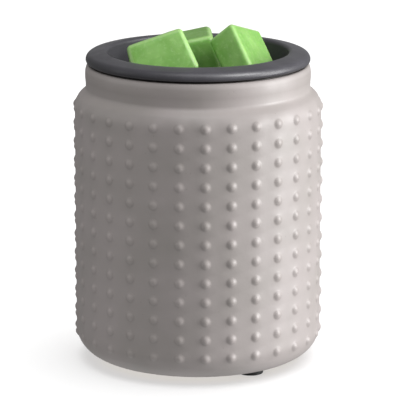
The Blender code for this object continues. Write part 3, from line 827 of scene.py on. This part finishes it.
def model_screw(name, node, head_radius, head_low, head_high, shank_radius, low, high, head_up):
    """A pan-head screw, turned and slotted; head_up says which way its head looks."""
    ridge = shank_radius * 0.15
    if head_up:
        outline = [(0, head_high)]
        outline += arc((head_radius - 0.4 * MM, head_high - 0.4 * MM), (0.4 * MM, 0.4 * MM), 90, 0, 4)
        outline += [(head_radius, head_low), (shank_radius, head_low)]
        outline += [(r - ridge, z) for r, z in thread(shank_radius + ridge, low + 0.3 * MM, head_low)]
        outline += [(shank_radius * 0.6, low), (0, low)]
    else:
        outline = [(0, high), (shank_radius * 0.6, high)]
        outline += [(r - ridge, z) for r, z in thread(shank_radius + ridge, head_high, high - 0.3 * MM)]
        outline += [(shank_radius, head_high), (head_radius, head_high)]
        outline += arc((head_radius - 0.4 * MM, head_low + 0.4 * MM), (0.4 * MM, 0.4 * MM), 0, -90, 4)
        outline += [(0, head_low)]
    screw = lathe(name, outline, steps=24, closed=False)
    face = head_high if head_up else head_low
    deselect()
    bpy.ops.mesh.primitive_cube_add(size=1, location=(0, 0, face),
                                    scale=(2.2 * head_radius, 0.5 * MM, 0.9 * MM))
    combine(screw, added("slot_cutter"))
    centre = centre_of(node)
    screw.location = (centre.x, centre.y, 0)
    settle(screw)
    smooth(screw, 30)
    return screw


pan_heads = [(f"pressure_screw_{number}", 1.5 * MM, 1.2 * MM) for number in (1, 2, 3)]
pan_heads += [(f"plate_screw_{number}", 1.2 * MM, 1.0 * MM) for number in (1, 2, 3)]
for node, head_height, shank in pan_heads:
    head_radius, low, high = spread(node)
    screw = model_screw(f"{node}_turned", node, head_radius, low, low + head_height, shank, low, high, False)
    hand_in(screw, "warmer", "steel", node)
shank = 1.0 * MM
head_radius, low, high = spread("fuse_clip_screw")
clip_screw = model_screw("clip_screw_turned", "fuse_clip_screw", head_radius, low, low + 1.2 * MM, shank,
                         low, high, False)
hand_in(clip_screw, "warmer", "steel", "fuse_clip_screw")
head_radius, low, high = spread("block_screw")
block_screw = model_screw("block_screw_turned", "block_screw", head_radius, high - 1.4 * MM, high, shank,
                          low, high, True)
hand_in(block_screw, "warmer", "steel", "block_screw")

# %% [markdown]
# ## How the finishes are built
#
# Each finish is a Principled shader whose colour, roughness and bump come from procedural textures. The
# textures read Object coordinates, so a pattern has a real size in millimetres and stays on its piece when
# the piece moves. Small helpers keep each recipe short: one makes noise of a given grain size, one makes
# cells, one turns a texture into a range of values, and one stacks bumps from coarse to fine.

# %% Shader helpers
finishes = {}


def paint(red, green, blue):
    """A colour read from a paint chart, 0 to 255, in linear light."""
    return tuple((part / 255 / 12.92) if part < 10.3 else ((part / 255 + 0.055) / 1.055) ** 2.4
                 for part in (red, green, blue))


def new_finish(slot, colour, roughness, metallic=0.0, **sockets):
    """A finish with its constant values set on the shader's own sockets."""
    material = bpy.data.materials.new(slot)
    material.use_nodes = True
    shader = material.node_tree.nodes["Principled BSDF"]
    shader.inputs["Base Color"].default_value = (*colour, 1)
    shader.inputs["Roughness"].default_value = roughness
    shader.inputs["Metallic"].default_value = metallic
    for socket, value in sockets.items():
        shader.inputs[socket.replace("_", " ")].default_value = value
    material.diffuse_color = (*colour, 1)
    finishes[slot] = material
    return material.node_tree, shader


def position(tree, stretch=(1, 1, 1), centre=(0, 0, 0)):
    """Object coordinates, moved to a centre and stretched."""
    coordinates = tree.nodes.new("ShaderNodeTexCoord")
    mapping = tree.nodes.new("ShaderNodeMapping")
    mapping.inputs["Location"].default_value = [-c * s for c, s in zip(centre, stretch)]
    mapping.inputs["Scale"].default_value = stretch
    tree.links.new(coordinates.outputs["Object"], mapping.inputs["Vector"])
    return mapping.outputs["Vector"]


def grain(tree, size, detail=2.0, stretch=(1, 1, 1), rough=0.5):
    """Noise whose features are about size across, in millimetres."""
    node = tree.nodes.new("ShaderNodeTexNoise")
    node.inputs["Scale"].default_value = 1 / (size * MM)
    node.inputs["Detail"].default_value = detail
    node.inputs["Roughness"].default_value = rough
    tree.links.new(position(tree, stretch), node.inputs["Vector"])
    return node.outputs["Fac"]


def cells(tree, size, feature="F1", stretch=(1, 1, 1)):
    """Distance to the nearest of scattered points, about size apart in millimetres."""
    node = tree.nodes.new("ShaderNodeTexVoronoi")
    node.feature = feature
    node.inputs["Scale"].default_value = 1 / (size * MM)
    tree.links.new(position(tree, stretch), node.inputs["Vector"])
    return node.outputs["Distance"]


def span(tree, factor, low, high, start=0.3, end=0.7):
    """A factor between start and end, mapped to low to high."""
    node = tree.nodes.new("ShaderNodeMapRange")
    node.inputs["From Min"].default_value = start
    node.inputs["From Max"].default_value = end
    node.inputs["To Min"].default_value = low
    node.inputs["To Max"].default_value = high
    tree.links.new(factor, node.inputs["Value"])
    return node.outputs["Result"]


def shades(tree, factor, stops):
    """A ramp through (position, colour) stops."""
    node = tree.nodes.new("ShaderNodeValToRGB")
    elements = node.color_ramp.elements
    while len(elements) < len(stops):
        elements.new(0.5)
    for element, (place, colour) in zip(elements, stops):
        element.position = place
        element.color = (*colour, 1)
    tree.links.new(factor, node.inputs["Fac"])
    return node.outputs["Color"]


def mixed(tree, factor, first, second, blend="MIX"):
    """Two colours mixed by a factor; each is a socket or a plain colour, and so is the factor."""
    node = tree.nodes.new("ShaderNodeMix")
    node.data_type = "RGBA"
    node.blend_type = blend
    for socket, value in ((node.inputs[0], factor), (node.inputs[6], first), (node.inputs[7], second)):
        if isinstance(value, bpy.types.NodeSocket):
            tree.links.new(value, socket)
        elif isinstance(value, tuple):
            socket.default_value = (*value, 1)
        else:
            socket.default_value = value
    return node.outputs[2]


def surface(tree, shader, colour, roughness, *layers):
    """Plug in a colour, a roughness and a stack of bumps of (height, depth in millimetres), coarse first."""
    tree.links.new(colour, shader.inputs["Base Color"])
    if roughness:
        tree.links.new(roughness, shader.inputs["Roughness"])
    below = None
    for height, depth in layers:
        node = tree.nodes.new("ShaderNodeBump")
        node.inputs["Distance"].default_value = depth * MM
        node.inputs["Strength"].default_value = 1.0
        tree.links.new(height, node.inputs["Height"])
        if below:
            tree.links.new(below, node.inputs["Normal"])
        below = node.outputs["Normal"]
    tree.links.new(below, shader.inputs["Normal"])


def attribute(tree, name):
    """A value stored on the mesh."""
    node = tree.nodes.new("ShaderNodeAttribute")
    node.attribute_name = name
    return node.outputs["Fac"]


def level(tree, low, high):
    """Zero below one height and one above another."""
    split = tree.nodes.new("ShaderNodeSeparateXYZ")
    tree.links.new(position(tree), split.inputs[0])
    return span(tree, split.outputs["Z"], 0.0, 1.0, low, high)


print("mid grey on the chart is", round(paint(128, 128, 128)[0], 3), "in linear light")

# %% [markdown]
# ## Satin stoneware glaze
#
# The jar's glaze is warm grey and satin. It pools a little round the foot of each hobnail and thins over its
# top, where the paler body shows through. A number stored on each vertex says how far it stands proud, and
# the colour follows it. Soft clouds come from uneven firing, and faint specks from iron in the clay. The
# ring that the jar stands on is wiped clean before firing, so bare clay shows there.

# %% Make the glaze
proud = jar.data.attributes.new("proud", "FLOAT", "POINT")
for index, vertex in enumerate(jar.data.vertices):
    reach = math.hypot(vertex.co.x, vertex.co.y) - wall_radius(vertex.co.z)
    proud.data[index].value = min(max(reach / HOBNAIL_HEIGHT, 0.0), 1.0)

tree, shader = new_finish("glaze", paint(196, 188, 185), 0.50, Specular_IOR_Level=0.85, Coat_Weight=0.10,
                          Coat_Roughness=0.40)
clouds = shades(tree, grain(tree, 26, 3), [(0.30, paint(188, 181, 177)), (0.70, paint(201, 192, 190))])
thin = shades(tree, attribute(tree, "proud"), [(0.0, (1.0, 1.0, 1.0)), (0.22, (0.90, 0.895, 0.89)),
                                               (0.55, (1.0, 1.0, 1.0)), (1.0, (1.06, 1.055, 1.05))])
glazed = mixed(tree, 1.0, clouds, thin, "MULTIPLY")
specks = span(tree, cells(tree, 2.6), 1.0, 0.0, 0.04, 0.11)
rare = span(tree, grain(tree, 5, 1), 0.0, 0.35, 0.56, 0.62)
speck_share = tree.nodes.new("ShaderNodeMath")
speck_share.operation = "MULTIPLY"
tree.links.new(specks, speck_share.inputs[0])
tree.links.new(rare, speck_share.inputs[1])
glazed = mixed(tree, speck_share.outputs[0], glazed, paint(120, 105, 92))
clay = shades(tree, grain(tree, 1.1, 4), [(0.35, paint(176, 158, 138)), (0.65, paint(205, 190, 170))])
wiped = level(tree, jar_bottom + 0.5 * MM, jar_bottom + 0.9 * MM)
surface(tree, shader, mixed(tree, wiped, clay, glazed), span(tree, grain(tree, 9, 4), 0.46, 0.56),
        (grain(tree, 7, 1), 0.10), (grain(tree, 1.3, 2), 0.025), (grain(tree, 0.3, 2), 0.006))
print("glaze:", len(tree.nodes), "nodes")

# %% [markdown]
# ## Silicone
#
# Moulded silicone is charcoal, matte and very slightly translucent. It shows the blasted texture of its
# mould as a fine grain, and it gathers a thin bloom of dust and wax that makes broad areas a touch paler.

# %% Make the silicone
tree, shader = new_finish("silicone", paint(58, 57, 62), 0.42, Specular_IOR_Level=0.6, Sheen_Weight=0.06,
                          Sheen_Roughness=0.4)
bloom = shades(tree, grain(tree, 14, 4), [(0.32, paint(53, 52, 57)), (0.72, paint(64, 63, 68))])
dust = span(tree, grain(tree, 0.7, 2), 0.0, 0.10, 0.60, 0.72)
surface(tree, shader, mixed(tree, dust, bloom, paint(128, 126, 128)),
        span(tree, grain(tree, 6, 4), 0.38, 0.47), (grain(tree, 5, 1), 0.03), (grain(tree, 0.35, 2), 0.012))
print("silicone:", len(tree.nodes), "nodes")

# %% [markdown]
# ## Wax
#
# Light goes into wax and comes out again a few millimetres further on, which the shader's subsurface does,
# with green travelling furthest. Corners and edges get a painted highlight: a paler colour that stands for
# the light that catches them. Cooling leaves clouds, a frosted bloom and some pinholes.

# %% Make the wax
tree, shader = new_finish("wax", paint(131, 181, 94), 0.40, Subsurface_Weight=0.45, Subsurface_Scale=0.004,
                          Specular_IOR_Level=0.45, Coat_Weight=0.08, Coat_Roughness=0.25)
shader.inputs["Subsurface Radius"].default_value = (0.55, 1.0, 0.28)
clouds = shades(tree, grain(tree, 7, 3), [(0.30, paint(121, 173, 83)), (0.70, paint(141, 189, 104))])
# Painted highlight: the colour turns paler towards edges and corners and stands in for the light that they
# catch.
painted_edge_highlight = span(tree, attribute(tree, "edge"), 0.0, 0.65, 0.84, 0.97)
pale = mixed(tree, painted_edge_highlight, clouds, paint(204, 236, 170))
frost = span(tree, grain(tree, 1.6, 4), 0.0, 0.22, 0.52, 0.74)
pinholes = span(tree, cells(tree, 3.1), 0.0, 1.0, 0.03, 0.09)
surface(tree, shader, mixed(tree, frost, pale, paint(188, 222, 156)),
        span(tree, grain(tree, 2.5, 4), 0.32, 0.52), (grain(tree, 4, 2), 0.12), (pinholes, 0.10),
        (grain(tree, 0.5, 3), 0.02))
print("wax:", len(tree.nodes), "nodes")

# %% [markdown]
# ## Rubber and plastics
#
# Rubber feet and the grommet are black with a fine matte skin. The base cover is moulded against a
# spark-eroded surface, which leaves a grain of rounded cells. The heater's cup is a brown-black phenolic
# with flow marks, and the terminal block is ivory and glossy, so its bumps are broad and shallow.

# %% Make rubber and plastics


def moulded(slot, dark, light, roughness, cloud_size, grain_size, grain_depth, **sockets):
    """A moulded finish: two shades in clouds, uneven gloss and a fine grain."""
    tree, shader = new_finish(slot, light, roughness, **sockets)
    clouds = shades(tree, grain(tree, cloud_size, 4), [(0.32, dark), (0.70, light)])
    gloss = span(tree, grain(tree, cloud_size / 3, 3), roughness - 0.06, roughness + 0.08)
    surface(tree, shader, clouds, gloss, (grain(tree, cloud_size / 2, 1), 0.02),
            (cells(tree, grain_size), grain_depth), (grain(tree, grain_size / 2, 2), grain_depth / 2))
    print(slot, "has a grain of", grain_size, "mm")


moulded("rubber", paint(24, 24, 25), paint(36, 36, 37), 0.62, 4, 0.30, 0.02)
moulded("cover_plastic", paint(40, 40, 42), paint(52, 52, 54), 0.50, 9, 0.45, 0.04)
moulded("housing_plastic", paint(44, 39, 36), paint(62, 55, 50), 0.44, 11, 0.30, 0.012)
moulded("terminal_plastic", paint(222, 217, 202), paint(233, 229, 216), 0.24, 6, 0.9, 0.01, Coat_Weight=0.15)
moulded("live_sleeve", paint(134, 28, 22), paint(160, 40, 30), 0.48, 3, 0.35, 0.03)
moulded("neutral_sleeve", paint(206, 203, 194), paint(226, 223, 214), 0.48, 3, 0.35, 0.03)

# %% [markdown]
# ## Metals
#
# The heating plate is cast aluminium, turned on its top face. The turning's fine lines are a wave that
# depends on the distance from the axis only, so it is worked out from X and Y. Zinc plate on the steel
# parts is bluish with straw-coloured clouds, and the element's wire has the brown and blue of hot metal.

# %% Make the metals


def distance_from_axis(tree):
    """How far a point is from the jar's axis."""
    flat = position(tree, (1, 1, 0))
    length = tree.nodes.new("ShaderNodeVectorMath")
    length.operation = "LENGTH"
    tree.links.new(flat, length.inputs[0])
    return length.outputs["Value"]


def ripple(tree, value, pitch):
    """A sine wave along a value, from -1 to 1."""
    turns = tree.nodes.new("ShaderNodeMath")
    turns.operation = "MULTIPLY"
    turns.inputs[1].default_value = 2 * math.pi / pitch
    tree.links.new(value, turns.inputs[0])
    wave = tree.nodes.new("ShaderNodeMath")
    wave.operation = "SINE"
    tree.links.new(turns.outputs[0], wave.inputs[0])
    return wave.outputs[0]


tree, shader = new_finish("heater_metal", paint(196, 196, 198), 0.34, 1.0)
worn = shades(tree, grain(tree, 12, 4), [(0.30, paint(176, 174, 172)), (0.70, paint(208, 208, 210))])
turned = ripple(tree, distance_from_axis(tree), 0.25 * MM)
gloss = span(tree, grain(tree, 2, 4), 0.28, 0.46)
surface(tree, shader, worn, gloss, (grain(tree, 1.2, 3), 0.03), (turned, 0.006))
print("heater_metal:", len(tree.nodes), "nodes")


def plated(slot, stops, roughness, size, scratch):
    """A metal with clouds of colour, uneven gloss and fine scratches."""
    tree, shader = new_finish(slot, stops[-1][1], roughness, 1.0)
    gloss = span(tree, grain(tree, size / 4, 4), roughness - 0.08, roughness + 0.10)
    surface(tree, shader, shades(tree, grain(tree, size, 3), stops), gloss, (grain(tree, 0.6, 2), 0.008),
            (grain(tree, 0.2, 2, (1, 14, 1)), scratch))
    print(slot, "has clouds of", size, "mm")


zinc = [(0.30, paint(176, 178, 184)), (0.55, paint(196, 196, 192)), (0.75, paint(202, 192, 160))]
blued = [(0.30, paint(62, 60, 74)), (0.50, paint(96, 82, 72)), (0.72, paint(128, 118, 108))]
plated("steel", zinc, 0.30, 3, 0.008)
plated("element", blued, 0.42, 4, 0.006)

# %% [markdown]
# ## Mica and ceramic fibre
#
# Mica splits into flakes, so its colour and gloss change from cell to cell, from silver to amber. Ceramic
# fibre is felted: soft, white and rough, with long fibres crossing at every angle.

# %% Make mica and fibre
tree, shader = new_finish("mica", paint(176, 160, 124), 0.32, Sheen_Weight=0.1)
flakes = shades(tree, cells(tree, 4.2), [(0.1, paint(196, 182, 148)), (0.5, paint(164, 146, 108)),
                                            (0.9, paint(132, 112, 80))])
glitter = span(tree, grain(tree, 0.8, 4), 0.0, 0.4, 0.55, 0.75)
gloss = span(tree, cells(tree, 3.0), 0.22, 0.46, 0.1, 0.9)
surface(tree, shader, mixed(tree, glitter, flakes, paint(214, 204, 180)), gloss, (cells(tree, 4.2), 0.06),
        (grain(tree, 0.8, 3), 0.02))

tree, shader = new_finish("fibre", paint(226, 221, 210), 0.92, Sheen_Weight=0.3, Sheen_Roughness=0.6)
tufts = shades(tree, grain(tree, 2.4, 5), [(0.3, paint(206, 200, 186)), (0.7, paint(236, 232, 224))])
surface(tree, shader, tufts, None, (grain(tree, 2.4, 4), 0.25), (grain(tree, 0.35, 4, (1, 5, 1)), 0.08),
        (grain(tree, 0.35, 4, (5, 1, 1)), 0.08))
print("finishes so far:", sorted(finishes))

# %% [markdown]
# ## Every piece gets its finish
#
# The engineering model's record says which slot each solid takes its finish from. Solids that stay in view
# get the finish in their own material slots, and new pieces get it by the slot that they were handed in
# with. So a repaint of one finish reaches all its pieces.

# %% Dress the pieces
slot_of = {part["node"]: part["material_slot"] for part in frame["record"]["subparts"]}
for name, node in frame["nodes"].items():
    if not node.material_slots:
        node.data.materials.append(finishes[slot_of[name]])
    for slot in node.material_slots:
        slot.material = finishes[slot_of[name]]
dressed = [obj for obj in bpy.data.objects if "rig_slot" in obj and obj.name not in frame["nodes"]]
for obj in dressed:
    obj.data.materials.clear()
    obj.data.materials.append(finishes[obj["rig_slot"]])
print("finishes:", len(finishes), "new pieces dressed:", len(dressed))

# %% [markdown]
# ## The floor
#
# The warmer stands on a pale floor that runs out to white. It is kept out of the reflections and of the
# light that bounces between surfaces, so that it doesn't wash out the jar from below; a lamp does that
# job, where its strength can be set.

# %% Lay the floor
deselect()
bpy.ops.mesh.primitive_plane_add(size=12, location=(0, 0, 0))
floor = added("floor")
tree, shader = new_finish("paper", (0.86, 0.86, 0.86), 0.8, Specular_IOR_Level=0.1)
tree.links.new(shades(tree, grain(tree, 400, 2), [(0.3, (0.85, 0.85, 0.85)), (0.7, (0.87, 0.87, 0.87))]),
               shader.inputs["Base Color"])
floor.data.materials.append(finishes["paper"])
floor.visible_diffuse = False
floor.visible_glossy = False
floor.visible_shadow = False
print("floor:", round(floor.dimensions.x), "m across")

# %% [markdown]
# ## Softboxes round the object
#
# A low softbox on the right rakes over the hobnails and gives each one a light and a dark side. A weak one
# on the left and one from above keep the shaded side and the shoulder from going flat, and one from below
# stands for the light that a pale table throws back. The wax and the dish's rim have a lamp each, because
# they would otherwise need a brighter key than the jar can take. Light linking keeps them apart: a lamp
# lights the collection that it is given, and here none of them lights the floor.

# %% Set the softboxes


def aim(obj, azimuth, elevation, distance, target):
    """Put an object round the target, azimuth counted from the front to the right, and point it there."""
    turn, lift = math.radians(azimuth), math.radians(elevation)
    way = Vector((math.sin(turn) * math.cos(lift), -math.cos(turn) * math.cos(lift), math.sin(lift)))
    obj.location = target + way * distance
    obj.rotation_euler = (-way).to_track_quat("-Z", "Y").to_euler()


def new_lamp(name, kind, power, lit):
    """A lamp of a kind that lights only a collection."""
    lamp = bpy.data.lights.new(name, kind)
    lamp.energy = power
    holder = bpy.data.objects.new(name, lamp)
    bpy.context.scene.collection.objects.link(holder)
    holder.light_linking.receiver_collection = lit
    print(name, "lights", lit.name)
    return holder


def lit_group(name, *members):
    """A collection of objects for lamps to light."""
    group = bpy.data.collections.new(name)
    for member in members:
        group.objects.link(member)
    return group


not_on_floor = lit_group("not_on_floor", floor)
not_on_floor.collection_objects[0].light_linking.link_state = "EXCLUDE"
on_floor = lit_group("on_floor", floor)
on_rim = lit_group("on_rim", dish)
in_dish = lit_group("in_dish", *[obj for obj in dressed if obj["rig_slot"] == "wax"])

# name, azimuth, elevation, distance, width, height, watts, what it lights
SOFTBOXES = [("key_softbox", 91, 9, 0.9, 0.42, 0.6, 8.4, not_on_floor),
             ("fill_softbox", -75, 20, 1.0, 0.5, 0.5, 0.5, not_on_floor),
             ("top_softbox", 10, 66, 0.9, 0.6, 0.6, 2.3, not_on_floor),
             ("dish_softbox", 50, 34, 0.8, 0.3, 0.3, 3.4, in_dish),
             ("rim_softbox", 62, 42, 0.8, 0.3, 0.4, 7.0, on_rim),
             ("bounce_softbox", 0, -88, 0.6, 1.0, 1.0, 1.2, not_on_floor)]
for name, azimuth, elevation, distance, width, height, power, lit in SOFTBOXES:
    softbox = new_lamp(name, "AREA", power, lit)
    softbox.data.shape = "RECTANGLE"
    softbox.data.size, softbox.data.size_y = width, height
    aim(softbox, azimuth, elevation, distance, Vector((0, 0, jar_top / 2)))

# %% [markdown]
# ## The floor's light and the surroundings
#
# Two broad suns light the floor alone. One is nearly overhead, a little behind and to the right, and its
# width gives the shadow its soft edge. The other casts no shadow and only lifts the floor to white. The
# world is white to the camera and dim to everything else, so the background stays clean while the object
# gets just an even, weak fill.

# %% Light the floor and the world
overhead = new_lamp("floor_lamp", "SUN", 2.0, on_floor)
overhead.data.angle = math.radians(68)
aim(overhead, 120, 80, 1.0, Vector((0, 0, 0)))
wash = new_lamp("floor_wash", "SUN", 1.7, on_floor)
wash.data.use_shadow = False

SKY_FOR_CAMERA, SKY_FOR_OBJECT = 1.0, 0.22
world = bpy.data.worlds.new("studio")
bpy.context.scene.world = world
world.use_nodes = True
world_tree = world.node_tree
background = world_tree.nodes["Background"]
seen = world_tree.nodes.new("ShaderNodeLightPath")
strength = world_tree.nodes.new("ShaderNodeMapRange")
strength.inputs["To Min"].default_value = SKY_FOR_OBJECT
strength.inputs["To Max"].default_value = SKY_FOR_CAMERA
world_tree.links.new(seen.outputs["Is Camera Ray"], strength.inputs["Value"])
world_tree.links.new(strength.outputs["Result"], background.inputs["Strength"])
background.inputs["Color"].default_value = (1, 1, 1, 1)
print("world:", SKY_FOR_OBJECT, "on the object,", SKY_FOR_CAMERA, "behind it")

# %% [markdown]
# ## The camera
#
# A long lens from a little over a metre, slightly above the rim, shows the jar almost without perspective,
# as product pictures do. The Standard view keeps the colours as they were mixed.

# %% Set the camera
CAMERA_TURN, CAMERA_LIFT, CAMERA_DISTANCE = 10, 13.4, 1.272
LOOK_AT = Vector((0, 0, 0.06918))
camera_data = bpy.data.cameras.new("camera")
camera_data.sensor_width = 36
camera_data.lens = 264
camera_data.shift_x = 0.005
camera = bpy.data.objects.new("camera", camera_data)
bpy.context.scene.collection.objects.link(camera)
aim(camera, CAMERA_TURN, CAMERA_LIFT, CAMERA_DISTANCE, LOOK_AT)
bpy.context.scene.camera = camera
bpy.context.scene.view_settings.view_transform = "Standard"
print("camera:", camera_data.lens, "mm lens,", CAMERA_DISTANCE, "m away")
